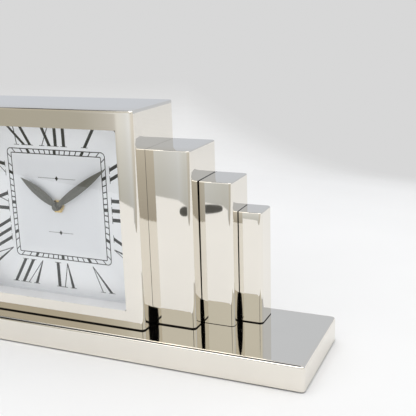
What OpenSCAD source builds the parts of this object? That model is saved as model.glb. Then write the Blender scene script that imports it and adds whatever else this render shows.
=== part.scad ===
// Stepped mantel clock. A square glazed case stands between three falling columns on each
// side, all hollow and polished, on a long flat plinth. A battery movement behind the dial
// turns the hands. X runs along the plinth, Y to the back and Z up, in millimetres, with the
// origin under the middle of the plinth.

/* [Plinth] */
// Length of the plinth
base_w = 514; // [460:1:600]
// Depth of the plinth
base_d = 108.6; // [104:0.1:124]
// Height of the plinth's metal tray
base_h = 23.4; // [21:0.1:32]
// Radius of the plinth's upright corners
base_corner_r = 3.5; // [3:0.1:6]
// Radius along the plinth's top edge
base_edge_r = 2.75; // [0.5:0.05:2.8]
// Wall of the tray
base_wall = 2.5; // [2:0.1:3.2]
// Thickness of the steel plate that closes the tray
floor_plate_t = 1.6; // [1.2:0.1:2.4]
// Thickness of the felt
felt_t = 2; // [1.4:0.1:3]
// How far the felt stands below the tray
felt_proud = 0.8; // [0.4:0.1:1.2]

/* [Case] */
// Width of the case
case_w = 202.8; // [196:0.1:212]
// Height of the case above the plinth
case_h = 201.6; // [196:0.1:212]
// From the plinth's front to the front of the case
case_setback = 17.4; // [12:0.1:20]
// From the back of the case and columns to the plinth's back
case_back_inset = 12; // [8:0.1:16]
// Wall of the case
case_wall = 2.5; // [2:0.1:3]
// Radius of the upright corners of case and columns
corner_r = 3.75; // [3:0.05:5]
// Radius along the top edges of case and columns
edge_r = 0.9; // [0.5:0.05:1.5]
// Width of the front frame round the glass
frame_w = 17.6; // [16:0.1:20]
// Depth of the jamb from the front of the case to the gasket
jamb_d = 15.5; // [12:0.1:16]
// Thickness of the jamb
jamb_t = 2; // [1.5:0.1:2.5]
// Corner radius of the glazed opening
opening_r = 2; // [1.5:0.1:3]

/* [Columns] */
// Width of the column beside the case
inner_w = 42.6; // [38:0.1:48]
// Width of the middle column
middle_w = 31.5; // [28:0.1:36]
// Width of the outer column
outer_w = 22.3; // [20:0.1:26]
// Height of the column beside the case
inner_h = 165.2; // [120:0.1:190]
// Height of the middle column
middle_h = 135.4; // [90:0.1:160]
// Height of the outer column
outer_h = 106.2; // [60:0.1:130]
// From the plinth's front to the inner column
inner_setback = 36.6; // [22:0.1:44]
// From the plinth's front to the middle column
middle_setback = 53.6; // [40:0.1:58]
// From the plinth's front to the outer column
outer_setback = 68.6; // [58:0.1:74]
// Wall of the columns
column_wall = 1.6; // [1.2:0.1:2.2]
// Seam between neighbouring columns, and between column and case
seam = 0.15; // [0.1:0.05:0.6]
// Thickness of the thin pads under case and columns
seat_t = 0.4; // [0.3:0.05:0.8]
// How far the pads stand back from the walls above them
seat_inset = 0.5; // [0.3:0.1:1.5]

/* [Glass and dial] */
// Thickness of the gasket between jamb and glass
gasket_t = 0.8; // [0.5:0.1:1.2]
// Thickness of the glass
glass_t = 2; // [1.5:0.1:2.4]
// How far the glass reaches behind the frame on each side
glass_lap = 4.4; // [4:0.1:4.8]
// From the front of the case to the face of the dial
dial_recess = 28; // [27.6:0.1:30]
// How far the middle of the dial lies above the middle of the case
dial_rise = 2.6; // [0:0.1:4]
// Thickness of the dial plate
dial_t = 1; // [0.8:0.1:1.4]

/* [Hands] */
// Minutes past the hour that the hands show
shown_minutes = 9.17; // [0:0.01:59]
// Hour that the hands show
shown_hour = 10; // [0:1:11]
// Length of the minute hand
minute_hand_l = 71.5; // [60:0.1:76]
// Greatest width of the minute hand
minute_hand_w = 8.3; // [5:0.1:10]
// Length of the hour hand
hour_hand_l = 47; // [36:0.1:55]
// Greatest width of the hour hand
hour_hand_w = 9.6; // [6:0.1:11]
// Height of the ridge along a hand
hand_ridge = 0.7; // [0.4:0.05:0.9]
// Thickness of a hand's boss
hand_boss_t = 1.1; // [0.9:0.05:1.3]

/* [Movement] */
// Wall of the movement's housing
housing_wall = 1.2; // [0.9:0.1:1.3]
// Thickness of the housing's front
front_plate_t = 1.5; // [1.3:0.1:1.7]
// Thickness of the motion work's wheels and of the bridge
wheel_t = 0.8; // [0.7:0.05:0.85]
// Thickness of the going train's small wheels
small_wheel_t = 0.6; // [0.5:0.05:0.65]
// Space between the layers of wheels
layer_gap = 0.75; // [0.65:0.05:0.8]
// Radius of the going train's shafts
shaft_r = 0.5; // [0.4:0.05:0.55]
// Radius of the minute wheel's shaft
minute_shaft_r = 0.7; // [0.6:0.05:0.75]
// Radius of the seconds wheel's shaft
seconds_shaft_r = 0.55; // [0.45:0.05:0.6]
// Outer radius of the cannon pinion's tube
cannon_r = 1.3; // [1.2:0.05:1.5]
// Diameter of the battery
battery_dia = 14.2; // [13.5:0.1:14.4]
// Length of the battery with its cap
battery_l = 50.5; // [49:0.1:50.6]
// Room for a contact at each end of the battery
contact_room = 1.55; // [1.4:0.05:2]
// From the battery to the back of the housing
battery_cover_gap = 1; // [0.8:0.1:3]
// Radius of the threaded stem that holds the movement in the dial
stem_r = 4; // [3.6:0.05:4.2]
// Length of the threaded stem
stem_l = 4.6; // [4.2:0.1:4.8]
// Teeth of every going pinion
pinion_teeth = 8; // [8:1:8]
// Teeth of the centre wheel
centre_teeth = 64; // [64:8:64]
// Teeth of the third wheel
third_teeth = 60; // [60:8:60]
// Teeth of the seconds wheel
seconds_teeth = 40; // [40:8:40]
// Teeth of the fifth wheel
fifth_teeth = 48; // [48:8:48]
// Module of the third wheel and the seconds pinion
third_module = 0.26; // [0.25:0.005:0.265]
// Module of the seconds wheel and the fifth pinion
seconds_module = 0.37; // [0.36:0.002:0.374]
// Module of the fifth wheel and the rotor pinion
fifth_module = 0.25; // [0.24:0.005:0.26]
// Module of the minute wheel and the cannon pinion
minute_module = 0.32; // [0.315:0.002:0.33]
// Running clearance between every shaft and its hole
running_gap = 0.05; // [0.02:0.01:0.08]

/* [Back] */
// Width and height of the hinged rear door
door_w = 100; // [92:1:110]
// Thickness of the door
door_t = 1.2; // [1:0.1:1.6]
// Thickness of the rear cover
cover_t = 1.5; // [1.2:0.1:2]
// From the back edge of the case to the rear cover
cover_inset = 5.5; // [5.2:0.1:6.5]

/* [Fasteners] */
// Radius of the screws that hold case and columns
big_screw_r = 1.95; // [1.8:0.05:2.1]
// Radius of the small screws
small_screw_r = 1.45; // [1.3:0.05:1.6]
// Clearance of a part dropped into a frame
drop_gap = 0.3; // [0.2:0.05:0.5]

/* [Hidden] */

// Colours
plate_c = [0.86, 0.84, 0.80];
black_c = [0.12, 0.12, 0.13];
felt_c = [0.10, 0.22, 0.16];
steel_c = [0.62, 0.63, 0.65];
brass_c = [0.80, 0.66, 0.35];
dial_c = [0.90, 0.91, 0.93];
hand_c = [0.35, 0.35, 0.32];
glass_c = [0.80, 0.88, 0.90, 0.3];
board_c = [0.10, 0.36, 0.20];
copper_c = [0.72, 0.42, 0.22];
ivory_c = [0.90, 0.89, 0.84];

// Heights and depths of the main faces
tray_z = felt_proud;
top_z = tray_z + base_h;
seat_z = top_z + seat_t;
front_y = -base_d / 2;
case_y = front_y + case_setback;
back_y = base_d / 2 - case_back_inset;
case_d = back_y - case_y;
case_mid_y = (case_y + back_y) / 2;
opening_w = case_w - 2 * frame_w;
opening_h = case_h - 2 * frame_w;
opening_z = top_z + case_h / 2;
dial_z = opening_z + dial_rise;
gasket_y = case_y + jamb_d;
glass_y = gasket_y + gasket_t;
well_y = glass_y + glass_t;
dial_y = case_y + dial_recess;
dial_back_y = dial_y + dial_t;
cover_y = back_y - cover_inset;
cover_back_y = cover_y + cover_t;
inside_w = case_w - 2 * case_wall;
inside_z = seat_z + case_wall;
inside_h = top_z + case_h - case_wall - inside_z;
inside_mid_z = inside_z + inside_h / 2;
eps = drop_gap / 10;
// How far the rounding of an edge stands back from the faces that it joins
edge_step = drop_gap / 20;

// The glass, and the frame that keeps the dial clear of it
glass_w = opening_w + 2 * glass_lap;
glass_h = opening_h + 2.4 * glass_lap;
surround_lip = glass_lap * 0.36;
surround_bar = glass_lap * 0.8;
surround_w = glass_w - 2 * surround_lip;
surround_h = glass_h - 2 * surround_lip;
surround_out_w = surround_w + 2 * surround_bar;
surround_out_h = surround_h + 2 * surround_bar;

// Fasteners
big_bore_r = big_screw_r + running_gap;
small_bore_r = small_screw_r + running_gap;
head_share = 1.8;
head_t_share = 1.1;
boss_share = 2.5;

// Where the plinth's plate, the case and the columns are screwed
plate_boss_in = 2 * boss_share * big_screw_r + base_wall;
plate_spots = [for (x = [-1, 1], y = [-1, 1])
    [x * (base_w / 2 - plate_boss_in * 2), y * (base_d / 2 - plate_boss_in)],
    for (y = [-1, 1]) [0, y * (base_d / 2 - plate_boss_in)]];
case_spots = [for (x = [-1, 1], y = [-1, 1]) [x * case_w * 0.4, case_mid_y + y * case_d * 0.36]];
case_boss_h = big_screw_r * 4;

// One row a column, from the case outwards: width, height and setback
columns = [[inner_w, inner_h, inner_setback], [middle_w, middle_h, middle_setback],
    [outer_w, outer_h, outer_setback]];
column_x0 = [case_w / 2, case_w / 2 + inner_w, case_w / 2 + inner_w + middle_w];
function column_y0(i) = front_y + columns[i][2];
function column_mid(i) = [column_x0[i] + columns[i][0] / 2, (column_y0(i) + back_y) / 2];
function column_size(i) = [columns[i][0] - seam, back_y - column_y0(i), columns[i][1] - seat_t];
block_h = big_screw_r * 5;
function block_d(i) = 0.62 * (column_size(i)[1] - 2 * column_wall);

// Outline of a slab seen from above, with round corners
module round_rect(w, d, r) {
    square([w - 2 * r, d], center = true);
    square([w, d - 2 * r], center = true);
    for (x = [-1, 1], y = [-1, 1])
        translate([x * (w / 2 - r), y * (d / 2 - r)]) circle(r = r, $fn = 48);
}

// Slab with upright corners of radius r and a top edge of radius e
module round_slab(w, d, h, r, e) {
    linear_extrude(height = h - e) round_rect(w, d, r);
    linear_extrude(height = h) round_rect(w - 2 * e, d - 2 * e, r - e);
    for (s = [-1, 1]) {
        translate([s * (w / 2 - e), 0, h - e]) rotate([90, 0, 0])
            cylinder(r = e - edge_step, h = d - 2 * r, center = true, $fn = 48);
        translate([0, s * (d / 2 - e), h - e]) rotate([0, 90, 0])
            cylinder(r = e - edge_step, h = w - 2 * r, center = true, $fn = 48);
    }
    for (x = [-1, 1], y = [-1, 1])
        translate([x * (w / 2 - r), y * (d / 2 - r), h - e]) round_corner(r, e);
}

// Outline and slab with round corners only on the side s, and a sharp butt joint on the other
module butted_rect(w, d, r, s) {
    translate([-s * r / 2, 0]) square([w - r, d], center = true);
    translate([s * w / 4, 0]) square([w / 2, d - 2 * r], center = true);
    for (y = [-1, 1]) translate([s * (w / 2 - r), y * (d / 2 - r)]) circle(r = r, $fn = 48);
}

module butted_slab(w, d, h, r, e, s) {
    linear_extrude(height = h - e) butted_rect(w, d, r, s);
    translate([-s * e / 2, 0, 0]) linear_extrude(height = h) butted_rect(w - e, d - 2 * e, r - e, s);
    translate([s * (w / 2 - e), 0, h - e]) rotate([90, 0, 0])
        cylinder(r = e - edge_step, h = d - 2 * r, center = true, $fn = 48);
    for (y = [-1, 1]) {
        translate([-s * r / 2, y * (d / 2 - e), h - e]) rotate([0, 90, 0])
            cylinder(r = e - edge_step, h = w - r, center = true, $fn = 48);
        translate([s * (w / 2 - r), y * (d / 2 - r), h - e]) round_corner(r, e);
    }
}

// Ring with a round rim that turns the top edge round an upright corner
module round_corner(r, e) {
    rotate_extrude($fn = 48) intersection() {
        translate([r - e, 0]) circle(r = e - 2 * edge_step, $fn = 48);
        translate([0, -e]) square([r, 2 * e]);
    }
}

// Box between two corners
module span(a, b) {
    translate(a) cube(b - a);
}

// Upright shaft or hole from z0 to z1
module rod(r, z0, z1, p = [0, 0]) {
    translate([p[0], p[1], z0]) cylinder(r = r, h = z1 - z0, $fn = 48);
}

// Flat frame that faces the viewer, between depths y0 and y1
module frame_ring(w, h, hole_w, hole_h, y0, y1) {
    difference() {
        span([-w / 2, y0, opening_z - h / 2], [w / 2, y1, opening_z + h / 2]);
        span([-hole_w / 2, y0 - eps, opening_z - hole_h / 2],
            [hole_w / 2, y1 + eps, opening_z + hole_h / 2]);
    }
}

// Cheese-head screw that points up, its head below z
module screw_up(r, l, p, z) {
    rod(r, z - eps, z + l, p);
    difference() {
        rod(r * head_share, z - r * head_t_share, z, p);
        translate([p[0], p[1], z - r * head_t_share])
            cube([r * head_share * 2, r * 0.3, r * 0.7], center = true);
    }
}

// The same screw pointing to the front from a face at depth y
module screw_front(r, l, x, y, z) {
    translate([x, y, z]) rotate([90, 0, 0]) screw_up(r, l, [0, 0], 0);
}

// Plinth: an upside-down tray with bosses for the screws of its floor plate
module base_shell() {
    color(plate_c) difference() {
        translate([0, 0, tray_z]) round_slab(base_w, base_d, base_h, base_corner_r, base_edge_r);
        difference() {
            span([base_wall - base_w / 2, base_wall - base_d / 2, 0],
                [base_w / 2 - base_wall, base_d / 2 - base_wall, top_z - base_wall]);
            for (p = plate_spots) rod(big_screw_r * boss_share, felt_t + floor_plate_t, top_z, p);
        }
        for (p = plate_spots) rod(big_bore_r, 0, top_z - base_wall * 2, p);
        for (p = case_spots) rod(big_bore_r, top_z - base_wall - eps, top_z + eps, p);
        for (i = [0:2], s = [-1, 1])
            rod(big_bore_r, top_z - base_wall - eps, top_z + eps, [s * column_mid(i)[0], column_mid(i)[1]]);
    }
}

// Half the length and half the depth of what lies in the tray's mouth
mouth_x = base_w / 2 - base_wall - drop_gap;
mouth_y = base_d / 2 - base_wall - drop_gap;

module floor_plate() {
    color(steel_c) difference() {
        span([-mouth_x, -mouth_y, felt_t], [mouth_x, mouth_y, felt_t + floor_plate_t]);
        for (p = plate_spots) rod(big_bore_r, 0, felt_t * 3, p);
    }
}

// Felt with a round window under every screw head
module felt_pad() {
    color(felt_c) difference() {
        span([-mouth_x, -mouth_y, 0], [mouth_x, mouth_y, felt_t]);
        for (p = plate_spots) rod(big_screw_r * head_share + drop_gap, -eps, felt_t + eps, p);
    }
}

// Flat-headed screws that pull the floor plate up against the bosses
floor_head_t = felt_t * 0.6;
module floor_plate_screws() {
    color(steel_c) for (p = plate_spots) {
        rod(big_screw_r, felt_t - eps, felt_t + floor_plate_t + base_h / 3, p);
        rod(big_screw_r * head_share, felt_t - floor_head_t, felt_t, p);
    }
}

module case_screws() {
    color(steel_c) for (p = case_spots)
        screw_up(big_screw_r, base_wall + seat_t + case_wall + case_boss_h * 0.7, p, top_z - base_wall);
}

module column_screws() {
    color(steel_c) for (i = [0:2], s = [-1, 1])
        screw_up(big_screw_r, base_wall + seat_t + block_h * 0.75,
            [s * column_mid(i)[0], column_mid(i)[1]], top_z - base_wall);
}

// Pads on the side walls that take the strips behind the dial
pad_w = (inside_w - surround_out_w) / 2 - drop_gap * 2;
pad_l = pad_w * 1.5;
clamp_spots = [for (x = [-1, 1], z = [-1, 1])
    [x * (inside_w / 2 - pad_w / 2), opening_z + z * opening_h * 0.33]];
// Corner blocks that take the rear cover's screws
corner_block = case_wall * 4;
corner_spots = [for (x = [-1, 1], z = [-1, 1])
    [x * (inside_w / 2 - corner_block / 2), inside_mid_z + z * (inside_h / 2 - corner_block / 2)]];

// Case: folded skin, open at the back, with the jamb round the glazed opening
module case_shell() {
    color(plate_c) difference() {
        union() {
            difference() {
                translate([0, case_mid_y, seat_z])
                    round_slab(case_w, case_d, case_h - seat_t, corner_r, edge_r);
                span([-inside_w / 2, case_y + case_wall, inside_z],
                    [inside_w / 2, back_y + case_d, inside_z + inside_h]);
            }
            frame_ring(opening_w + 2 * jamb_t, opening_h + 2 * jamb_t, opening_w / 2, opening_h / 2,
                case_y + case_wall / 2, gasket_y);
            for (p = case_spots)
                rod(big_screw_r * boss_share, inside_z - eps, inside_z + case_boss_h, p);
            for (p = clamp_spots)
                span([p[0] - pad_w / 2, dial_back_y - pad_w, p[1] - pad_l / 2],
                    [p[0] + pad_w / 2, dial_back_y, p[1] + pad_l / 2]);
            for (p = corner_spots)
                span([p[0] - corner_block / 2, cover_y - corner_block, p[1] - corner_block / 2],
                    [p[0] + corner_block / 2, cover_y, p[1] + corner_block / 2]);
        }
        translate([0, gasket_y + eps, opening_z]) rotate([90, 0, 0])
            linear_extrude(height = jamb_d + 2 * eps) round_rect(opening_w, opening_h, opening_r);
        for (p = case_spots) rod(big_bore_r, seat_z - eps, inside_z + case_boss_h * 0.85, p);
        for (p = clamp_spots) translate([p[0], dial_back_y + eps, p[1]]) rotate([90, 0, 0])
            cylinder(r = small_bore_r, h = pad_w * 0.85, $fn = 48);
        for (p = corner_spots) translate([p[0], cover_y + eps, p[1]]) rotate([90, 0, 0])
            cylinder(r = small_bore_r, h = corner_block * 0.8, $fn = 48);
    }
}

module glazing_gasket() {
    color(black_c) frame_ring(glass_w, glass_h, opening_w + jamb_t, opening_h + jamb_t, gasket_y, glass_y);
}

module crystal() {
    color(glass_c) span([-glass_w / 2, glass_y, opening_z - glass_h / 2],
        [glass_w / 2, well_y, opening_z + glass_h / 2]);
}

// Moulded frame that holds the glass forward and keeps the dial clear of it
module dial_surround() {
    color(dial_c) frame_ring(surround_out_w, surround_out_h, surround_w, surround_h, well_y, dial_y);
}

module dial_plate() {
    color(dial_c) difference() {
        span([-surround_out_w / 2, dial_y, opening_z - surround_out_h / 2],
            [surround_out_w / 2, dial_back_y, opening_z + surround_out_h / 2]);
        in_movement() rod(stem_r + running_gap, -eps, dial_t + eps);
    }
}

// Strips that press the dial plate forward
clamp_t = dial_t * 1.5;
clamp_reach = surround_bar + pad_w;
module dial_clamps() {
    color(steel_c) for (p = clamp_spots) difference() {
        translate([sign(p[0]) * (inside_w - clamp_reach - 2 * drop_gap) / 2,
            dial_back_y + clamp_t / 2, p[1]]) cube([clamp_reach, clamp_t, pad_l * 0.8], center = true);
        translate([p[0], dial_back_y + clamp_t * 2, p[1]]) rotate([90, 0, 0])
            cylinder(r = small_bore_r, h = clamp_t * 3, $fn = 48);
    }
}

module dial_clamp_screws() {
    color(steel_c) for (p = clamp_spots)
        screw_front(small_screw_r, clamp_t + pad_w * 0.7, p[0], dial_back_y + clamp_t, p[1]);
}

// Hollow column that stands on the plinth, counted outwards from the case, with a sharp
// butt joint on the side of the case
module column(i, side) {
    s = column_size(i);
    p = column_mid(i);
    color(plate_c) translate([side * p[0], p[1], seat_z]) difference() {
        butted_slab(s[0], s[1], s[2], corner_r, edge_r, side);
        translate([0, 0, -column_wall]) linear_extrude(height = s[2])
            round_rect(s[0] - 2 * column_wall, s[1] - 2 * column_wall, corner_r - column_wall);
    }
}

module left_inner_column() { column(0, -1); }
module left_middle_column() { column(1, -1); }
module left_outer_column() { column(2, -1); }
module right_inner_column() { column(0, 1); }
module right_middle_column() { column(1, 1); }
module right_outer_column() { column(2, 1); }

// Bars soldered across the foot of every column, tapped for its screw
module column_blocks() {
    color(steel_c) for (i = [0:2], s = [-1, 1]) difference() {
        translate([s * column_mid(i)[0], column_mid(i)[1], seat_z + block_h / 2])
            cube([column_size(i)[0] - 2 * column_wall, block_d(i), block_h], center = true);
        rod(big_bore_r, seat_z - eps, seat_z + block_h * 0.85, [s * column_mid(i)[0], column_mid(i)[1]]);
    }
}

// Thin dark pads on which case and columns stand, pierced by their screws
module seating_pads() {
    color(black_c) difference() {
        translate([0, 0, top_z]) linear_extrude(height = seat_t) {
            translate([0, case_mid_y])
                round_rect(case_w - 2 * seat_inset, case_d - 2 * seat_inset, corner_r - seat_inset);
            for (i = [0:2], s = [-1, 1]) translate([s * column_mid(i)[0], column_mid(i)[1]])
                round_rect(column_size(i)[0] - 2 * seat_inset, column_size(i)[1] - 2 * seat_inset,
                    corner_r - seat_inset);
        }
        for (p = case_spots) rod(big_bore_r, tray_z, seat_z + eps, p);
        for (i = [0:2], s = [-1, 1])
            rod(big_bore_r, tray_z, seat_z + eps, [s * column_mid(i)[0], column_mid(i)[1]]);
    }
}

// Rear cover with a window behind the movement
window_w = door_w * 0.9;
door_gap = drop_gap;
hinge_r = (cover_inset - cover_t - door_gap) * 0.45;
hinge_x = -door_w / 2 - hinge_r;
hinge_y = cover_back_y + door_gap + hinge_r;
pin_r = hinge_r * 0.5;
knuckle_l = door_w * 0.2;
knuckle_z = door_w * 0.32;
module rear_cover() {
    color(black_c) difference() {
        union() {
            span([drop_gap - inside_w / 2, cover_y, inside_z + drop_gap],
                [inside_w / 2 - drop_gap, cover_back_y, inside_z + inside_h - drop_gap]);
            for (s = [-1, 1]) {
                rod(hinge_r, dial_z + s * knuckle_z - knuckle_l / 2, dial_z + s * knuckle_z + knuckle_l / 2,
                    [hinge_x, hinge_y]);
                span([hinge_x - hinge_r, cover_y + cover_t / 2, dial_z + s * knuckle_z - knuckle_l / 2],
                    [hinge_x, hinge_y, dial_z + s * knuckle_z + knuckle_l / 2]);
            }
        }
        span([-window_w / 2, cover_y - eps, dial_z - window_w / 2],
            [window_w / 2, cover_back_y + eps, dial_z + window_w / 2]);
        rod(pin_r + running_gap, dial_z - door_w / 2, dial_z + door_w / 2, [hinge_x, hinge_y]);
        for (p = corner_spots) translate([p[0], cover_back_y + eps, p[1]]) rotate([90, 0, 0])
            cylinder(r = small_bore_r, h = cover_t * 2, $fn = 48);
    }
}

module rear_cover_screws() {
    color(steel_c) for (p = corner_spots)
        screw_front(small_screw_r, cover_t + corner_block * 0.6, p[0], cover_back_y, p[1]);
}

// Magnet in the window's free edge that holds the door
magnet_w = door_w * 0.06;
module magnet_catch() {
    color(black_c) span([window_w / 2 - magnet_w, cover_y - cover_t, dial_z - magnet_w],
        [window_w / 2, cover_back_y, dial_z + magnet_w]);
}

// Door that covers the window, with one long knuckle between the cover's two
module rear_door() {
    middle_l = 2 * knuckle_z - knuckle_l - 2 * drop_gap;
    color(black_c) difference() {
        union() {
            span([hinge_x + hinge_r + drop_gap, cover_back_y + door_gap, dial_z - door_w / 2],
                [door_w / 2, cover_back_y + door_gap + door_t, dial_z + door_w / 2]);
            rod(hinge_r, dial_z - middle_l / 2, dial_z + middle_l / 2, [hinge_x, hinge_y]);
            span([hinge_x, cover_back_y + door_gap, dial_z - middle_l / 2],
                [hinge_x + 2 * hinge_r, cover_back_y + door_gap + door_t, dial_z + middle_l / 2]);
        }
        rod(pin_r + running_gap, dial_z - door_w / 2, dial_z + door_w / 2, [hinge_x, hinge_y]);
        translate([door_knob_x, cover_back_y + door_gap + door_t + eps, dial_z]) rotate([90, 0, 0])
            cylinder(r = small_bore_r, h = door_t * 2, $fn = 48);
    }
}

// Pin through all the knuckles
module door_hinge_pin() {
    color(steel_c) rod(pin_r, dial_z - knuckle_z - knuckle_l / 2, dial_z + knuckle_z + knuckle_l / 2,
        [hinge_x, hinge_y]);
}

// Turned pull riveted through the door
door_knob_x = door_w * 0.32;
door_knob_r = door_w * 0.045;
door_knob_l = cover_inset - cover_t - door_gap - door_t - eps * 4;
module door_knob() {
    color(brass_c) translate([door_knob_x, cover_back_y + door_gap, dial_z]) rotate([-90, 0, 0]) {
        rod(small_screw_r, 0, door_t + eps);
        rod(door_knob_r * 0.6, door_t, door_t + door_knob_l * 0.4);
        rod(door_knob_r, door_t + door_knob_l * 0.4, door_t + door_knob_l);
    }
}

// Movement
// Everything here is drawn with X right, Y up and Z towards the viewer, from the back of the dial
module in_movement() {
    translate([0, dial_back_y, dial_z]) rotate([90, 0, 0]) children();
}

// Outer width and depth of the movement, which its battery and contacts fill
battery_r = battery_dia / 2;
movement_w = battery_l + 2 * (contact_room + housing_wall);
movement_d = front_plate_t + drop_gap + battery_dia + battery_cover_gap;
half_w = movement_w / 2;

// Layers behind the dial, each from its rear face to its front face
function layer(front, t) = [front - t, front];
hour_level = layer(-front_plate_t - layer_gap, wheel_t);
minute_level = layer(hour_level[0] - layer_gap, wheel_t);
centre_level = layer(minute_level[0] - layer_gap, wheel_t);
third_level = layer(centre_level[0] - layer_gap, small_wheel_t);
seconds_level = layer(third_level[0] - layer_gap, small_wheel_t);
fifth_level = layer(seconds_level[0] - layer_gap, small_wheel_t);
bridge_level = layer(fifth_level[0] - layer_gap, wheel_t);
magnet_level = [fifth_level[1] + layer_gap, third_level[1]];
stator_level = layer(third_level[0] - drop_gap, small_wheel_t);
shaft_end = bridge_level[0] - drop_gap;
shaft_tip = -front_plate_t / 4;

// Teeth: heights in modules, widths in shares of the pitch
tooth_top = 0.8;
tooth_root = 1.15;
tooth_w_share = 0.42;
tip_share = 0.5;

// Centre distances and the places of the shafts round the centre
third_d = third_module * (third_teeth + pinion_teeth) / 2;
centre_module = 2 * third_d / (centre_teeth + pinion_teeth);
fifth_d = seconds_module * (seconds_teeth + pinion_teeth) / 2;
rotor_d = fifth_module * (fifth_teeth + pinion_teeth) / 2;
cannon_teeth = 14;
minute_teeth = 42;
minute_pinion_teeth = 10;
hour_teeth = 40;
minute_d = minute_module * (cannon_teeth + minute_teeth) / 2;
hour_module = 2 * minute_d / (minute_pinion_teeth + hour_teeth);
third_a = 20;
fifth_a = 110;
rotor_a = 60;
minute_a = 200;
function polar(d, a) = [d * cos(a), d * sin(a)];
third_p = polar(third_d, third_a);
fifth_p = polar(fifth_d, fifth_a);
rotor_p = fifth_p + polar(rotor_d, rotor_a);
minute_p = polar(minute_d, minute_a);

// Tubes that turn round one another
cannon_bore_r = seconds_shaft_r + running_gap;
hour_bore_r = cannon_r + running_gap;
hour_pipe_r = stem_r * 0.6;
stem_bore_r = hour_pipe_r + running_gap;

// Outline of a spur gear of n teeth and module m with its first tooth at the angle phase
function gear_points(n, m, phase) = [for (i = [0:n - 1], k = [0:5])
    let (
        half = tooth_w_share * 180 / n,
        r = m * (n / 2 + [-tooth_root, 0, tooth_top, tooth_top, 0, -tooth_root][k]),
        a = phase + i * 360 / n + half * [-1, -1, -tip_share, tip_share, 1, 1][k]
    ) polar(r, a)];

module gear(n, m, level, phase) {
    translate([0, 0, level[0]]) linear_extrude(height = level[1] - level[0])
        polygon(gear_points(n, m, phase));
}

// Phase of the gear at the far end of a centre line that runs at the angle a
function mesh_phase(n, a) = a + 180 + 180 / n;

// Rotor magnet, iron circuit and coil, upwards from the rotor
magnet_r = rotor_d * 0.34;
stator_x = half_w * 0.5;
stator_reach = magnet_r * 1.35;
core_t = wheel_t;
core_w = core_t * 2.5;
core_z = stator_level[1];
stator_leg = 2 * core_w;
coil_r = wheel_t * 3.8;
coil_space = wheel_t * 3.4;
coil_y = rotor_p[1] + stator_reach + coil_space + coil_r;

// The divider lies under the minute wheel, the battery under the divider, the walls round all
split_z = bridge_level[1];
divider_y = minute_p[1] - minute_module * (minute_teeth / 2 + tooth_top) - layer_gap - housing_wall;
battery_y = divider_y - drop_gap - battery_r;
battery_z = -front_plate_t - drop_gap - battery_r;
housing_low = battery_y - battery_r - drop_gap - housing_wall;
housing_high = coil_y + coil_r + drop_gap + housing_wall;
module housing_outline() {
    translate([0, (housing_low + housing_high) / 2])
        round_rect(movement_w, housing_high - housing_low, housing_r);
}
pillar_r = 3 * shaft_r;
peg_r = pillar_r * 0.8;
peg_tip_r = peg_r / 2;
housing_r = housing_wall * 1.6;
pillars = [[half_w * 0.7, divider_y + housing_wall + pillar_r * 2], [half_w * 0.7, housing_high * 0.72],
    [-half_w * 0.7, housing_high * 0.72]];
board_pegs = [[-half_w * 0.82, -housing_high * 0.18], [-half_w * 0.82, housing_high * 0.4]];

module movement_front_housing() {
    color(black_c) in_movement() difference() {
        union() {
            difference() {
                translate([0, 0, split_z]) linear_extrude(height = -split_z) housing_outline();
                span([housing_wall - half_w, housing_low + housing_wall, split_z - eps],
                    [half_w - housing_wall, housing_high - housing_wall, -front_plate_t]);
            }
            span([eps - half_w + housing_wall / 2, divider_y, split_z],
                [half_w - housing_wall / 2, divider_y + housing_wall, -front_plate_t / 2]);
            for (p = pillars) rod(pillar_r, split_z, -front_plate_t / 2, p);
            for (p = board_pegs) {
                rod(peg_r, fifth_level[1], -front_plate_t / 2, p);
                rod(peg_tip_r, board_z - drop_gap / 2, -front_plate_t / 2, p);
            }
            rod(stem_r, -front_plate_t / 2, stem_l);
        }
        rod(stem_bore_r, -movement_d, stem_l + eps);
        for (p = [third_p, fifth_p, rotor_p])
            rod(shaft_r + running_gap, -front_plate_t - eps, -front_plate_t / 5, p);
        rod(minute_shaft_r + running_gap, -front_plate_t - eps, -front_plate_t / 5, minute_p);
    }
}

// Rear half of the housing, open over the battery
module movement_rear_housing() {
    floor_z = -movement_d + housing_wall;
    color(black_c) in_movement() difference() {
        union() {
            difference() {
                translate([0, 0, -movement_d]) linear_extrude(height = movement_d + split_z)
                    housing_outline();
                span([housing_wall - half_w, housing_low + housing_wall, floor_z],
                    [half_w - housing_wall, housing_high - housing_wall, split_z + eps]);
            }
            span([housing_wall / 2 - half_w, divider_y, -movement_d],
                [half_w - housing_wall / 2, divider_y + housing_wall, split_z]);
            rod(minute_shaft_r + housing_wall, -movement_d, bridge_level[0] - drop_gap, minute_p);
        }
        span([housing_wall - half_w, housing_low + housing_wall, -movement_d - eps],
            [half_w - housing_wall, divider_y, floor_z + eps]);
        rod(minute_shaft_r + running_gap, -movement_d - eps, 0, minute_p);
    }
}

// Plate that carries the rear ends of the shafts
module train_bridge() {
    color(steel_c) in_movement() difference() {
        span([-half_w * 0.78, divider_y + housing_wall + drop_gap, bridge_level[0]],
            [half_w * 0.78, housing_high * 0.8, bridge_level[1]]);
        for (p = [third_p, fifth_p, rotor_p]) rod(shaft_r + running_gap, -movement_d, 0, p);
        rod(seconds_shaft_r + running_gap, -movement_d, 0);
        rod(minute_shaft_r + running_gap, -movement_d, 0, minute_p);
    }
}

// Hexagon nut that clamps the movement against the dial
nut_t = stem_l * 0.48;
module stem_nut() {
    color(brass_c) in_movement() difference() {
        translate([0, 0, dial_t]) cylinder(r = stem_r * 1.7, h = nut_t, $fn = 6);
        rod(stem_r + running_gap, 0, stem_l * 2);
    }
}

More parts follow.
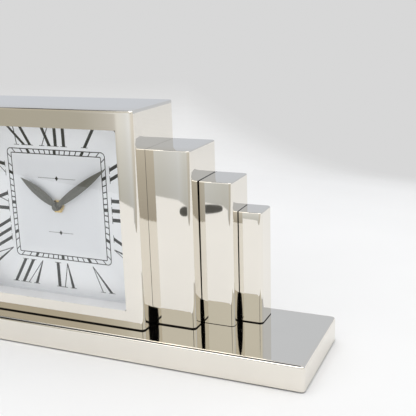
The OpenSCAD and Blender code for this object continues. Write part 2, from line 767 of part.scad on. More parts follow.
// Board with the sealed chip on it
board_t = wheel_t;
chip_r = pillar_r * 1.6;
can_r = wheel_t * 1.25;
can_l = can_r * 6;
board_z = fifth_level[1] - board_t;
module circuit_board() {
    color(board_c) in_movement() difference() {
        union() {
            span([-half_w + housing_wall + drop_gap, -housing_high * 0.3, board_z],
                [-half_w * 0.42, housing_high * 0.5, board_z + board_t]);
            rod(chip_r, board_z + board_t / 2, board_z + board_t + wheel_t, [-half_w * 0.6, 0]);
        }
        for (p = board_pegs) rod(peg_tip_r + running_gap, -movement_d, 0, p);
    }
}

module quartz_can() {
    color(steel_c) in_movement() translate([-half_w * 0.52, housing_high * 0.14, board_z + board_t + can_r])
        rotate([-90, 0, 0]) cylinder(r = can_r, h = can_l, $fn = 48);
}

// Iron circuit round the rotor, closed by the core through the coil
module stator() {
    color(steel_c) in_movement() difference() {
        union() {
            span([-stator_x, rotor_p[1] - stator_reach, stator_level[0]],
                [stator_x, rotor_p[1] + stator_reach, stator_level[1]]);
            for (s = [-1, 1]) translate([s * (stator_x - stator_leg / 2), 0, 0])
                span([-stator_leg / 2, rotor_p[1], stator_level[0]],
                    [stator_leg / 2, coil_y + core_w / 2, stator_level[1]]);
        }
        rod(magnet_r * 1.2, -movement_d, 0, rotor_p);
    }
}

module coil_core() {
    color(steel_c) in_movement() span([-stator_x, coil_y - core_w / 2, core_z],
        [stator_x, coil_y + core_w / 2, core_z + core_t]);
}

// Bobbin with two flanges, and the wire between them
bobbin_x = stator_x - stator_leg * 1.1;
flange_t = wheel_t;
module coil_tube(r, x0, x1) {
    translate([x0, coil_y, core_z + core_t / 2]) rotate([0, 90, 0]) cylinder(r = r, h = x1 - x0, $fn = 48);
}
module coil_bobbin() {
    color(ivory_c) in_movement() difference() {
        union() {
            coil_tube(coil_r * 0.5, -bobbin_x, bobbin_x);
            coil_tube(coil_r, -bobbin_x, flange_t - bobbin_x);
            coil_tube(coil_r, bobbin_x - flange_t, bobbin_x);
        }
        span([-movement_w, coil_y - core_w / 2 - eps, core_z - eps],
            [movement_w, coil_y + core_w / 2 + eps, core_z + core_t + eps]);
    }
}

module coil_winding() {
    color(copper_c) in_movement() difference() {
        coil_tube(coil_r * 0.88, flange_t - bobbin_x, bobbin_x - flange_t);
        coil_tube(coil_r * 0.5, -movement_w, movement_w);
    }
}

// Spring tongues at both ends of the battery bay
contact_t = housing_wall / 4;
module battery_contacts() {
    end_x = half_w - housing_wall;
    color(brass_c) in_movement() for (s = [-1, 1]) {
        span([min(s * end_x, s * (end_x - contact_t)), battery_y - battery_r / 2, battery_z - battery_r / 2],
            [max(s * end_x, s * (end_x - contact_t)), battery_y + battery_r / 2, -front_plate_t]);
        translate([s * (end_x - contact_t / 2), battery_y, battery_z]) rotate([0, -90 * s, 0])
            cylinder(r1 = battery_r / 3, r2 = battery_r / 6, $fn = 48,
                h = end_x - battery_l / 2 - drop_gap - contact_t / 2);
    }
}

// Cell with its raised cap at the right-hand end
cap_l = battery_l * 0.026;
module battery() {
    color(copper_c) in_movement() translate([-battery_l / 2, battery_y, battery_z]) rotate([0, 90, 0]) {
        cylinder(r = battery_r, h = battery_l - cap_l, $fn = 64);
        cylinder(r = battery_r * 0.38, h = battery_l, $fn = 48);
    }
}

// Going train, from the motor to the centre
module rotor() {
    color(steel_c) in_movement() translate([rotor_p[0], rotor_p[1], 0]) {
        rod(shaft_r, shaft_end, shaft_tip);
        rod(magnet_r, magnet_level[0], magnet_level[1]);
        gear(pinion_teeth, fifth_module, fifth_level, mesh_phase(pinion_teeth, rotor_a));
    }
}

module fifth_wheel() {
    color(ivory_c) in_movement() translate([fifth_p[0], fifth_p[1], 0]) {
        rod(shaft_r, shaft_end, shaft_tip);
        gear(fifth_teeth, fifth_module, fifth_level, rotor_a);
        gear(pinion_teeth, seconds_module, [fifth_level[1] - eps, seconds_level[1]],
            mesh_phase(pinion_teeth, fifth_a));
    }
}

module seconds_wheel() {
    color(ivory_c) in_movement() {
        rod(seconds_shaft_r, shaft_end, minute_level[0]);
        gear(seconds_teeth, seconds_module, seconds_level, fifth_a);
        gear(pinion_teeth, third_module, [seconds_level[1] - eps, third_level[1]], third_a);
    }
}

module third_wheel() {
    color(ivory_c) in_movement() translate([third_p[0], third_p[1], 0]) {
        rod(shaft_r, shaft_end, shaft_tip);
        gear(third_teeth, third_module, third_level, mesh_phase(third_teeth, third_a));
        gear(pinion_teeth, centre_module, [third_level[1] - eps, centre_level[1]],
            mesh_phase(pinion_teeth, third_a));
    }
}

module centre_wheel() {
    color(ivory_c) in_movement() difference() {
        gear(centre_teeth, centre_module, centre_level, third_a);
        rod(hour_bore_r, -movement_d, 0);
    }
}

// Motion work in front of the centre wheel, which turns the hour hand once in twelve turns
module cannon_pinion() {
    color(brass_c) in_movement() difference() {
        union() {
            rod(cannon_r, centre_level[0] - drop_gap / 2, hand_z[1] + hand_boss_t);
            gear(cannon_teeth, minute_module, minute_level, minute_a);
        }
        rod(cannon_bore_r, -movement_d, stem_l);
    }
}

module minute_wheel() {
    color(ivory_c) in_movement() translate([minute_p[0], minute_p[1], 0]) {
        rod(minute_shaft_r, -movement_d - drop_gap, shaft_tip);
        gear(minute_teeth, minute_module, minute_level, mesh_phase(minute_teeth, minute_a));
        gear(minute_pinion_teeth, hour_module, [minute_level[1] - eps, hour_level[1]], minute_a + 180);
    }
}

module hour_wheel() {
    color(ivory_c) in_movement() difference() {
        union() {
            rod(hour_pipe_r, hour_level[0], hand_z[0] + hand_boss_t);
            gear(hour_teeth, hour_module, hour_level, mesh_phase(hour_teeth, minute_a + 180));
        }
        rod(hour_bore_r, -movement_d, movement_d);
    }
}

module setting_knob() {
    knob_r = movement_w * 0.1;
    knob_l = movement_w * 0.06;
    notches = 24;
    color(ivory_c) in_movement()
    translate([minute_p[0], minute_p[1], -movement_d - drop_gap - knob_l]) difference() {
        rod(knob_r, 0, knob_l);
        for (i = [0:notches - 1]) rotate(i * 360 / notches) translate([knob_r, 0, -eps])
            cube([knob_r / 8, knob_r / 8, knob_l * 3], center = true);
        translate([0, 0, -eps]) cylinder(r = knob_r * 0.6, h = knob_l / 4, $fn = 48);
    }
}

// Hands: the underside of the hour hand and of the minute hand, in front of the dial's back
hand_space = hand_boss_t * 1.1;
hand_z = [stem_l + drop_gap, stem_l + drop_gap + hand_boss_t + hand_space];
cap_t = hand_boss_t * 0.7;
minute_angle = shown_minutes * 6;
hour_angle = shown_hour * 30 + minute_angle / 12;

// Half width of a leaf hand at the share t of its length, broadest at its waist
waist = 0.42;
leaf_power = 2.2;
neck_share = 0.22;
function leaf(t) = max(neck_share * (1 - t),
    1 - pow(abs(t - waist) / (t < waist ? waist * 1.15 : 1 - waist), leaf_power)) / 2;

// Flat-backed leaf with a ridge down its middle, pointing up from the centre
leaf_steps = 16;
module leaf_blade(l, w) {
    ts = [for (i = [0:leaf_steps]) i / leaf_steps];
    pts = [for (t = ts) each [[-leaf(t) * w, t * l, 0],
        [0, t * l, hand_ridge * (0.25 + 1.5 * leaf(t))], [leaf(t) * w, t * l, 0]]];
    sides = [for (i = [0:leaf_steps - 1], k = [0:2]) let (a = 3 * i + k, b = 3 * i + (k + 1) % 3)
        each [[a, b + 3, b], [a, a + 3, b + 3]]];
    last = 3 * leaf_steps;
    polyhedron(points = pts, faces = concat(sides, [[0, 1, 2]], [[last + 2, last + 1, last]]));
}

module hour_hand() {
    color(hand_c) in_movement() difference() {
        translate([0, 0, hand_z[0]]) {
            rod(hour_pipe_r * 1.6, 0, hand_boss_t);
            rotate(-hour_angle) leaf_blade(hour_hand_l, hour_hand_w);
        }
        rod(hour_pipe_r + running_gap / 2, hand_z[0] - hand_boss_t, hand_z[0] + 3 * hand_boss_t);
    }
}

module minute_hand() {
    color(hand_c) in_movement() difference() {
        translate([0, 0, hand_z[1]]) {
            rod(hour_pipe_r * 1.3, 0, hand_boss_t);
            rotate(-minute_angle) leaf_blade(minute_hand_l, minute_hand_w);
        }
        rod(cannon_r + running_gap / 2, hand_z[1] - hand_boss_t, hand_z[1] + 3 * hand_boss_t);
    }
}

// Cap pressed on the end of the cannon pinion
module hand_nut() {
    color(hand_c) in_movement() {
        rod(hour_pipe_r, hand_z[1] + hand_boss_t, hand_z[1] + hand_boss_t + cap_t);
        translate([0, 0, hand_z[1] + hand_boss_t + cap_t])
            cylinder(r1 = hour_pipe_r, r2 = hour_pipe_r * 0.55, h = cap_t * 0.7, $fn = 48);
    }
}

base_shell();
floor_plate();
felt_pad();
floor_plate_screws();
case_screws();
column_screws();
case_shell();
glazing_gasket();
crystal();
dial_surround();
dial_plate();
dial_clamps();
dial_clamp_screws();
rear_cover();
rear_cover_screws();
magnet_catch();
left_inner_column();
left_middle_column();
left_outer_column();
right_inner_column();
right_middle_column();
right_outer_column();
column_blocks();
seating_pads();
movement_front_housing();
movement_rear_housing();
train_bridge();
stem_nut();
circuit_board();
quartz_can();
stator();
coil_core();
coil_bobbin();
coil_winding();
battery_contacts();
battery();
rotor();
fifth_wheel();
seconds_wheel();
third_wheel();
centre_wheel();
cannon_pinion();
minute_wheel();
hour_wheel();
hour_hand();
minute_hand();
hand_nut();
setting_knob();
rear_door();
door_hinge_pin();
door_knob();
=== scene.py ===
"""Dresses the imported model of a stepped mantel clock: mirror-polished plate, a printed dial,
flat glass, felt, and the plastics and metals of the battery movement."""

import math

import bmesh
import bpy
import numpy as np
from mathutils import Matrix, Vector


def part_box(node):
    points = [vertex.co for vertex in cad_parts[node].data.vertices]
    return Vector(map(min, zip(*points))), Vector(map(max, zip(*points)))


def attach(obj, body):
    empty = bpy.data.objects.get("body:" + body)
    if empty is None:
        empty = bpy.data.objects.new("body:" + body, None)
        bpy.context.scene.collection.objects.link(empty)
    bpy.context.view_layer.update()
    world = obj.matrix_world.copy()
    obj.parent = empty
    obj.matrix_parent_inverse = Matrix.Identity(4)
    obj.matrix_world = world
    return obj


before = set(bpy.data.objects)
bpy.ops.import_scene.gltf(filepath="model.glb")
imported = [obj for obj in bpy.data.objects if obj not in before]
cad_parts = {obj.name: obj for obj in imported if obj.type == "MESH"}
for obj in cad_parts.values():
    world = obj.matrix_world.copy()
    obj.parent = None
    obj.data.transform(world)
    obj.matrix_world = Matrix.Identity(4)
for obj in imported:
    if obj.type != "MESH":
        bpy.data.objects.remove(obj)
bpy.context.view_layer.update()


# Polished plate
# The plinth's tray, the case and the six columns are folded from sheet, soldered, nickel
# plated and buffed to a mirror. Buffing leaves a faint haze, long waves in the flats, and
# fronts that fall away a little before their upright edges.
nickel_dull, nickel_bright = (0.825, 0.79, 0.725), (0.85, 0.815, 0.75)
# The black of the painted shade: a painted contact shadow along the lowest edges and painted shade
# in the seams.
painted_shade_black = (0.012, 0.009, 0.006)


def new_material(name):
    """An empty node material with its shader and output joined."""
    material = bpy.data.materials.new(name)
    material.use_nodes = True
    tree = material.node_tree
    tree.nodes.clear()
    shader = tree.nodes.new("ShaderNodeBsdfPrincipled")
    output = tree.nodes.new("ShaderNodeOutputMaterial")
    tree.links.new(shader.outputs["BSDF"], output.inputs["Surface"])
    return material, tree, shader


def object_place(tree):
    """The place of a point on the piece, in metres."""
    return tree.nodes.new("ShaderNodeTexCoord").outputs["Object"]


def sum_of(tree, operation, a, b=None, c=None, clamp=False):
    """One Math node: its inputs are sockets or plain numbers."""
    node = tree.nodes.new("ShaderNodeMath")
    node.operation = operation
    node.use_clamp = clamp
    for socket, value in zip(node.inputs, (a, b, c)):
        if value is None:
            continue
        if isinstance(value, (int, float)):
            socket.default_value = value
        else:
            tree.links.new(value, socket)
    return node.outputs[0]


def plus(tree, a, b):
    """a plus b."""
    return sum_of(tree, "ADD", a, b)


def less(tree, a, b):
    """a less b."""
    return sum_of(tree, "SUBTRACT", a, b)


def times(tree, a, b, clamp=False):
    """a times b, held between 0 and 1 where clamp is set."""
    return sum_of(tree, "MULTIPLY", a, b, clamp=clamp)


def size_of(tree, value):
    """The value without its sign."""
    return sum_of(tree, "ABSOLUTE", value)


def split(tree, vector):
    """The x, y and z of a vector."""
    node = tree.nodes.new("ShaderNodeSeparateXYZ")
    tree.links.new(vector, node.inputs[0])
    return node.outputs


def cloud(tree, place, scale, detail=2.0, rough=0.5, stretch=(1, 1, 1)):
    """Noise of a given scale per metre, stretched along the axes."""
    mapping = tree.nodes.new("ShaderNodeMapping")
    mapping.inputs["Scale"].default_value = stretch
    tree.links.new(place, mapping.inputs["Vector"])
    noise = tree.nodes.new("ShaderNodeTexNoise")
    noise.inputs["Scale"].default_value = scale
    noise.inputs["Detail"].default_value = detail
    noise.inputs["Roughness"].default_value = rough
    tree.links.new(mapping.outputs[0], noise.inputs["Vector"])
    return noise.outputs[0]


def spread(tree, value, low, high):
    """Turns 0 to 1 into low to high."""
    node = tree.nodes.new("ShaderNodeMapRange")
    node.inputs["To Min"].default_value = low
    node.inputs["To Max"].default_value = high
    tree.links.new(value, node.inputs["Value"])
    return node.outputs[0]


def tint(tree, value, stops):
    """A colour ramp from (place, (red, green, blue)) stops, in linear light."""
    node = tree.nodes.new("ShaderNodeValToRGB")
    ramp = node.color_ramp
    while len(ramp.elements) < len(stops):
        ramp.elements.new(0.5)
    for element, (place, colour) in zip(ramp.elements, stops):
        element.position = place
        element.color = (*colour, 1)
    tree.links.new(value, node.inputs["Fac"])
    return node.outputs["Color"]


def laid_over(tree, share, below, above, kind="RGBA"):
    """Lays one colour over another by a share of 0 to 1 or, with kind FLOAT, one plain value
    over another. All three are sockets or constants."""
    node = tree.nodes.new("ShaderNodeMix")
    node.data_type = kind
    # The Mix node has sockets of its own for each kind: these are the kind's two and its result.
    first, second, result = {"RGBA": (6, 7, 2), "FLOAT": (2, 3, 0)}[kind]
    for number, value in ((0, share), (first, below), (second, above)):
        if isinstance(value, tuple):
            node.inputs[number].default_value = (*value, 1)
        elif isinstance(value, float):
            node.inputs[number].default_value = value
        else:
            tree.links.new(value, node.inputs[number])
    return node.outputs[result]


def raised(tree, shader, height, strength, distance):
    """Feeds a height into the shader's normal."""
    bump = tree.nodes.new("ShaderNodeBump")
    bump.inputs["Strength"].default_value = strength
    bump.inputs["Distance"].default_value = distance
    tree.links.new(height, bump.inputs["Height"])
    tree.links.new(bump.outputs[0], shader.inputs["Normal"])


def finish_node(node, material):
    """Puts one material on every face of a carried-over CAD node."""
    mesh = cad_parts[node].data
    mesh.materials.clear()
    mesh.materials.append(material)


def line_within(tree, depth):
    """1 where depth is above 0, and 0 elsewhere, with an edge a ninth of a millimetre soft."""
    return times(tree, depth, 9000.0, clamp=True)


def rolled_off(tree, height, way, rate):
    """The height less half the rate times the square of the way, where the way is above 0: the
    slope grows by the rate a metre."""
    past = sum_of(tree, "MAXIMUM", way, 0.0)
    return sum_of(tree, "MULTIPLY_ADD", sum_of(tree, "POWER", past, 2.0), -rate / 2, height)


def polished_plate(
    name, middle, half, fall, roll, lean=0.0, side=None, crown=None, foot=0.0, seam=None
):
    """Mirror plate, flat in the CAD. Its front reaches half to both sides of x = middle, leans
    by a slope, and rolls off over its last roll metres until it falls by the slope fall.
    Where side = (start, rate), its ends roll off from y = start towards the front, and where
    crown = (slope, length), the front rolls off over the last length below its top.
    A painted contact shadow lies in a line of height foot above the lowest edge, and painted shade
    along the seam (x, reach at the foot, reach at the top), which reaches as far to the left as to
    the right."""
    low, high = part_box(name)
    material, tree, shader = new_material("plate_" + name)
    place = object_place(tree)
    x, y, z = split(tree, place)
    shader.inputs["Metallic"].default_value = 1
    haze = cloud(tree, place, 9, 3, 0.6)
    metal = tint(tree, haze, [(0.3, nickel_dull), (0.7, nickel_bright)])
    # Painted shade: a painted contact shadow in a line along the lowest edge, and painted shade
    # along the seam.
    painted_shade = line_within(tree, less(tree, low.z + foot, z))
    if seam:
        line, at_foot, at_top = seam
        widening = (at_top - at_foot) / (high.z - low.z)
        reach = sum_of(tree, "MULTIPLY_ADD", less(tree, z, low.z), widening, at_foot)
        off_line = size_of(tree, less(tree, x, line))
        painted_shade = sum_of(tree, "MAXIMUM", painted_shade, line_within(tree, less(tree, reach, off_line)))
    tree.links.new(laid_over(tree, painted_shade, metal, painted_shade_black), shader.inputs["Base Color"])
    swirls = cloud(tree, place, 60, 4, 0.6)
    tree.links.new(spread(tree, swirls, 0.02, 0.045), shader.inputs["Roughness"])
    aside = size_of(tree, less(tree, x, middle))
    height = times(tree, z, lean)
    height = rolled_off(tree, height, less(tree, aside, half - roll), fall / roll)
    if side:
        start, rate = side
        height = rolled_off(tree, height, less(tree, start, y), rate)
    if crown:
        slope, length = crown
        height = rolled_off(tree, height, less(tree, z, high.z - length), slope / length)
    wave_depth = 0.00006
    wave = times(tree, cloud(tree, place, 14, 0, 0.5, (1, 1, 0.5)), wave_depth)
    raised(tree, shader, plus(tree, height, wave), 1.0, 1.0)
    return material


# foot and seam set the painted contact shadow at the lowest edge and the painted shade along the
# seams.
shells = {
    "case_shell": dict(
        middle=0.0, half=0.1014, fall=0.04, roll=0.018, crown=(0.6, 0.0032),
        side=(-0.0177, 4.0), foot=0.0009,
    ),
    "base_shell": dict(middle=0.0, half=0.257, fall=0.02, roll=0.02, foot=0.0003),
}
for end, sign in (("right", 1), ("left", -1)):
    shells[end + "_inner_column"] = dict(
        middle=sign * 0.1185, half=0.0254, fall=0.05, roll=0.012, lean=0.0065,
        side=(-0.0007, 10.0), foot=0.0009, seam=(sign * 0.10155, 0.00015, 0.0001),
    )
    shells[end + "_middle_column"] = dict(
        middle=sign * 0.15663, half=0.01873, fall=0.05, roll=0.009,
        side=(0.0143, 5.7), seam=(sign * 0.14415, 0.0004, 0.0009),
    )
    shells[end + "_outer_column"] = dict(
        middle=sign * 0.18425, half=0.01345, fall=0.05, roll=0.007, crown=(0.05, 0.012),
        foot=0.0007, seam=(sign * 0.17565, 0.0004, 0.0005),
    )
for node, shape in shells.items():
    finish_node(node, polished_plate(node, **shape))

# The case's jamb is brushed, not buffed, because a wheel doesn't reach into the corner, so
# it is rougher and more neutral than the front of its frame.
opening_half_x, opening_half_z, opening_middle_z = 0.0838, 0.0832, 0.125
hair = 0.00005  # a reach past the opening's sides, into the plate
polished_rim = 0.0003  # how deep the buffed front goes into the opening
satin_grey, satin_rough, satin_metallic = (0.82, 0.82, 0.825), 0.38, 0.25
case_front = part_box("case_shell")[0].y
case_material = bpy.data.materials["plate_case_shell"]
tree = case_material.node_tree
shader = next(n for n in tree.nodes if n.type == "BSDF_PRINCIPLED")
x, y, z = split(tree, object_place(tree))
from_middle = size_of(tree, less(tree, z, opening_middle_z))
in_x = sum_of(tree, "LESS_THAN", size_of(tree, x), opening_half_x + hair)
in_z = sum_of(tree, "LESS_THAN", from_middle, opening_half_z + hair)
behind_front = sum_of(tree, "GREATER_THAN", y, case_front + polished_rim)
in_jamb = times(tree, times(tree, in_x, in_z), behind_front)
tree.links.new(spread(tree, in_jamb, 1.0, satin_metallic), shader.inputs["Metallic"])
for socket_name, satin, kind in (
    ("Roughness", satin_rough, "FLOAT"),
    ("Base Color", satin_grey, "RGBA"),
):
    socket = shader.inputs[socket_name]
    buffed = socket.links[0].from_socket
    tree.links.new(laid_over(tree, in_jamb, buffed, satin, kind), socket)


# The opening's corners are dressed round: four small fillets as deep as the jamb.
def corner_fillets(name, radius, front, back, steps=10):
    """For each corner of the opening, the patch between the corner and a quarter circle that
    touches both sides, carried straight back. The corner point lies a hair inside the plate."""
    turn = np.linspace(0, np.pi / 2, steps + 1)
    points, faces = [], []
    for sx in (-1, 1):
        for sz in (-1, 1):
            arc_x = sx * (opening_half_x - radius + radius * np.cos(turn))
            arc_z = opening_middle_z + sz * (opening_half_z - radius + radius * np.sin(turn))
            ring_x = np.append(arc_x, sx * (opening_half_x + hair))
            ring_z = np.append(arc_z, opening_middle_z + sz * (opening_half_z + hair))
            start, n = len(points), steps + 2
            for y in (front, back):
                points += np.stack([ring_x, np.full(n, y), ring_z], axis=1).tolist()
            near = np.arange(start, start + n)
            following = np.roll(near, -1)
            walls = np.stack([following, near, near + n, following + n], axis=1)
            faces += [near.tolist(), (near + n)[::-1].tolist()] + walls.tolist()
    mesh = bpy.data.meshes.new(name)
    mesh.from_pydata(points, [], faces)
    shaped = bmesh.new()
    shaped.from_mesh(mesh)
    bmesh.ops.recalc_face_normals(shaped, faces=shaped.faces)
    shaped.to_mesh(mesh)
    shaped.free()
    mesh.materials.append(case_material)
    piece = bpy.data.objects.new(name, mesh)
    bpy.context.scene.collection.objects.link(piece)
    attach(piece, "clock")


corner_fillets("opening_corners", 0.0026, case_front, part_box("glazing_gasket")[0].y)


# Felt
# A sheet of short wool felt, pressed and dyed dark green. It is cut to the plinth's outline,
# less a small margin, and glued under the floor plate.
felt, tree, shader = new_material("felt")
fibre = cloud(tree, object_place(tree), 900, 5, 0.7)
green = tint(tree, fibre, [(0.3, (0.006, 0.022, 0.015)), (0.7, (0.02, 0.055, 0.038))])
tree.links.new(green, shader.inputs["Base Color"])
shader.inputs["Roughness"].default_value = 0.95
shader.inputs["Sheen Weight"].default_value = 0.4
raised(tree, shader, fibre, 0.6, 0.0006)
finish_node("felt_pad", felt)


# Steel, brass and copper
# Zinc-plated screws, strips, bars, pins and the movement's iron parts are drawn and tumbled,
# so they show a fine grain. The nut, the contacts, the pinion and the pull are brass, and the
# coil is wound from enamelled copper wire.
def satin_metal(name, low, high, grain, rough):
    """Metal between two tones, with a grain stretched along Z that takes its roughness 0.08
    to both sides of rough."""
    material, tree, shader = new_material(name)
    lines = cloud(tree, object_place(tree), grain, 3, 0.6, (1, 1, 0.15))
    tree.links.new(tint(tree, lines, [(0.3, low), (0.7, high)]), shader.inputs["Base Color"])
    tree.links.new(spread(tree, lines, rough - 0.08, rough + 0.08), shader.inputs["Roughness"])
    shader.inputs["Metallic"].default_value = 1
    raised(tree, shader, lines, 0.15, 0.0001)
    return material


steel = satin_metal("screw_steel", (0.42, 0.43, 0.45), (0.56, 0.57, 0.6), 1400, 0.32)
for node in (
    "floor_plate_screws", "case_screws", "column_screws", "column_blocks", "dial_clamps",
    "dial_clamp_screws", "rear_cover_screws", "door_hinge_pin", "train_bridge", "stator",
    "coil_core", "quartz_can", "rotor",
):
    finish_node(node, steel)
brass = satin_metal("brass", (0.58, 0.42, 0.16), (0.72, 0.54, 0.24), 1100, 0.28)
for node in ("stem_nut", "battery_contacts", "cannon_pinion", "door_knob"):
    finish_node(node, brass)
copper = satin_metal("copper_wire", (0.40, 0.15, 0.06), (0.62, 0.26, 0.12), 5200, 0.3)
finish_node("coil_winding", copper)


# Painted steel
# The floor plate, the rear cover and its door are sheet steel with a satin black paint
# that has a faint orange peel. Screws hold the first two, and a pin the door.
black_steel, tree, shader = new_material("black_steel")
place = object_place(tree)
peel = cloud(tree, place, 700, 2, 0.5)
patches = cloud(tree, place, 30, 4, 0.6)
black = tint(tree, patches, [(0.3, (0.012, 0.012, 0.013)), (0.7, (0.02, 0.02, 0.021))])
tree.links.new(black, shader.inputs["Base Color"])
tree.links.new(spread(tree, peel, 0.36, 0.5), shader.inputs["Roughness"])
raised(tree, shader, peel, 0.25, 0.0002)
for node in ("floor_plate", "rear_cover", "rear_door"):
    finish_node(node, black_steel)


# Plastics and rubber
# The housings and the catch are moulded in black, the dial's surround in silver grey, the
# wheels, the knob and the bobbin in natural acetal, and the board is green laminate. The
# gasket and the thin seating pads under case and columns are black rubber.
def moulded(name, low, high, rough, grain, depth):
    """Moulded plastic between two tones, with a spark-eroded grain that takes its roughness
    0.06 to both sides of rough."""
    material, tree, shader = new_material(name)
    texture = cloud(tree, object_place(tree), grain, 4, 0.65)
    tree.links.new(tint(tree, texture, [(0.25, low), (0.75, high)]), shader.inputs["Base Color"])
    tree.links.new(spread(tree, texture, rough - 0.06, rough + 0.06), shader.inputs["Roughness"])
    raised(tree, shader, texture, 0.35, depth)
    return material


black_plastic = moulded(
    "black_plastic", (0.012, 0.012, 0.013), (0.024, 0.024, 0.026), 0.55, 2200, 0.0001
)
for node in ("movement_front_housing", "movement_rear_housing", "magnet_catch"):
    finish_node(node, black_plastic)
pale_plastic = moulded("pale_plastic", (0.69, 0.70, 0.72), (0.75, 0.76, 0.78), 0.42, 2000, 0.00005)
finish_node("dial_surround", pale_plastic)
acetal = moulded("gear_plastic", (0.66, 0.64, 0.55), (0.78, 0.76, 0.68), 0.4, 1500, 0.00005)
for node in (
    "fifth_wheel", "seconds_wheel", "third_wheel", "centre_wheel", "minute_wheel", "hour_wheel",
    "setting_knob", "coil_bobbin",
):
    finish_node(node, acetal)
rubber = moulded("gasket_rubber", (0.008, 0.008, 0.008), (0.014, 0.014, 0.014), 0.8, 1800, 0.0001)
for node in ("glazing_gasket", "seating_pads"):
    finish_node(node, rubber)
laminate = moulded("board", (0.010, 0.07, 0.03), (0.02, 0.12, 0.05), 0.3, 900, 0.00003)
finish_node("circuit_board", laminate)


# Battery
# An alkaline cell in a printed foil jacket: a coppery end over a black body, bare steel at
# both ends. It lies between the movement's two contacts.
cell_length = 0.0505
bare_steel, jacket_black, jacket_copper = (0.5, 0.5, 0.5), (0.012, 0.012, 0.012), (0.55, 0.24, 0.08)
battery, tree, shader = new_material("battery_jacket")
place = object_place(tree)
x = split(tree, place)[0]
from_end = sum_of(tree, "DIVIDE", plus(tree, x, cell_length / 2), cell_length)
jacket = tint(tree, from_end, [
    (0.0, bare_steel),
    (0.012, jacket_black),
    (0.7, jacket_copper),
    (0.965, bare_steel),
])
jacket.node.color_ramp.interpolation = "CONSTANT"
tree.links.new(jacket, shader.inputs["Base Color"])
shader.inputs["Metallic"].default_value = 0.7
creases = cloud(tree, place, 300, 3, 0.5)
tree.links.new(spread(tree, creases, 0.22, 0.34), shader.inputs["Roughness"])
finish_node("battery", battery)


# Glass
# A flat clear pane, cut from float glass and held in the gasket behind the jamb. It is thin,
# so it bends nothing and only adds the reflections of its two faces, both taken at the outer.
glass, tree, shader = new_material("window_glass")
fresnel = tree.nodes.new("ShaderNodeFresnel")
fresnel.inputs["IOR"].default_value = 1.5
shader.inputs["Base Color"].default_value = (0.97, 1, 0.99, 1)
shader.inputs["Metallic"].default_value = 1
shader.inputs["Roughness"].default_value = 0.01
two_faces = spread(tree, cloud(tree, object_place(tree), 25, 2, 0.5), 1.9, 2.4)
path = tree.nodes.new("ShaderNodeLightPath")
unseen = sum_of(tree, "MAXIMUM", path.outputs["Is Shadow Ray"], path.outputs["Is Diffuse Ray"])
seen = less(tree, 1.0, unseen)
outer = less(tree, 1.0, tree.nodes.new("ShaderNodeNewGeometry").outputs["Backfacing"])
gloss = times(tree, fresnel.outputs[0], times(tree, two_faces, outer))
tree.links.new(times(tree, gloss, seen, clamp=True), shader.inputs["Alpha"])
finish_node("crystal", glass)


# Dial plate
# A steel sheet, pressed flat and sprayed in a pale silver paint with a very fine sparkle.
# Its colour is painted lighter towards the edges and darker at the middle: painted light that evens
# out the shade of the recess. Four strips hold the plate against the surround.
dial_middle_z, dial_half = 0.1276, 0.084
dial_paint, tree, shader = new_material("silvered_dial")
place = object_place(tree)
flake = cloud(tree, place, 2600, 3, 0.7)
x, _, z = split(tree, place)
up_or_down = size_of(tree, less(tree, z, dial_middle_z))
off_middle = sum_of(tree, "MAXIMUM", size_of(tree, x), up_or_down)
off_middle = sum_of(tree, "DIVIDE", off_middle, dial_half)
speckle = times(tree, less(tree, flake, 0.5), 0.15)
# Painted light: the silver grows lighter from the middle to the edges, against the shade of the
# recess.
silver_and_painted_light = tint(tree, plus(tree, off_middle, speckle), [
    (0.0, (0.70, 0.72, 0.75)),
    (0.5, (0.735, 0.755, 0.785)),
    (0.68, (0.84, 0.86, 0.885)),
    (0.92, (0.93, 0.945, 0.965)),
])
tree.links.new(silver_and_painted_light, shader.inputs["Base Color"])
tree.links.new(spread(tree, flake, 0.42, 0.55), shader.inputs["Roughness"])
raised(tree, shader, flake, 0.1, 0.00005)
finish_node("dial_plate", dial_paint)


# Dial print
# A square minute ring and Roman numerals, screened on the plate in black ink. Ticks and
# strokes point at the centre, and every foot runs along the side of the square it stands on.
dial_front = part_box("dial_plate")[0].y
ink_lift = 0.00004
# The outward and the clockwise direction of the square's top, right, bottom and left side.
sides = (((0, 1), (1, 0)), ((1, 0), (0, -1)), ((0, -1), (-1, 0)), ((-1, 0), (0, 1)))


def side_of(angle):
    """The side of the square that a ray at this clock angle crosses: top, right, bottom, left."""
    return int(((angle + 45) % 360) // 90)


def on_side(angle, along, out):
    """Points on the dial: out millimetres from its middle towards the ray's side, slid along
    that side by the ray's slope times out, plus along. Along grows clockwise."""
    side = side_of(angle)
    (ox, oz), (ax, az) = sides[side]
    slide = along + out * math.tan(math.radians(angle - 90 * side))
    return ox * out + ax * slide, oz * out + az * slide


def print_sheet(name, corners, material):
    """Four-sided patches, from an array of shape (n, 4, 2) in millimetres from the dial's
    middle, as one thin sheet just in front of the plate. Each patch is turned to the viewer."""
    flat = np.asarray(corners, float).reshape(-1, 2) / 1000
    points = np.empty((len(flat), 3))
    points[:, 0] = flat[:, 0]
    points[:, 1] = dial_front - ink_lift
    points[:, 2] = dial_middle_z + flat[:, 1]
    loops = np.arange(len(points)).reshape(-1, 4)
    a, b, c = points[loops[:, 0]], points[loops[:, 1]], points[loops[:, 2]]
    away = np.cross(b - a, c - a)[:, 1] > 0
    loops[away] = loops[away][:, ::-1]
    mesh = bpy.data.meshes.new(name)
    mesh.from_pydata(points.tolist(), [], loops.tolist())
    mesh.materials.append(material)
    piece = bpy.data.objects.new(name, mesh)
    bpy.context.scene.collection.objects.link(piece)
    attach(piece, "clock")


def stroke(angle, a0, a1, r0, r1, width0, width1=None):
    """A stroke from (a0, r0) to (a1, r1), along and out from the side, with a width at each
    end that is measured along the side."""
    width1 = width0 if width1 is None else width1
    along = np.array([a0 - width0 / 2, a0 + width0 / 2, a1 + width1 / 2, a1 - width1 / 2])
    out = np.array([r0, r0, r1, r1])
    return np.stack(on_side(angle, along, out), axis=1)


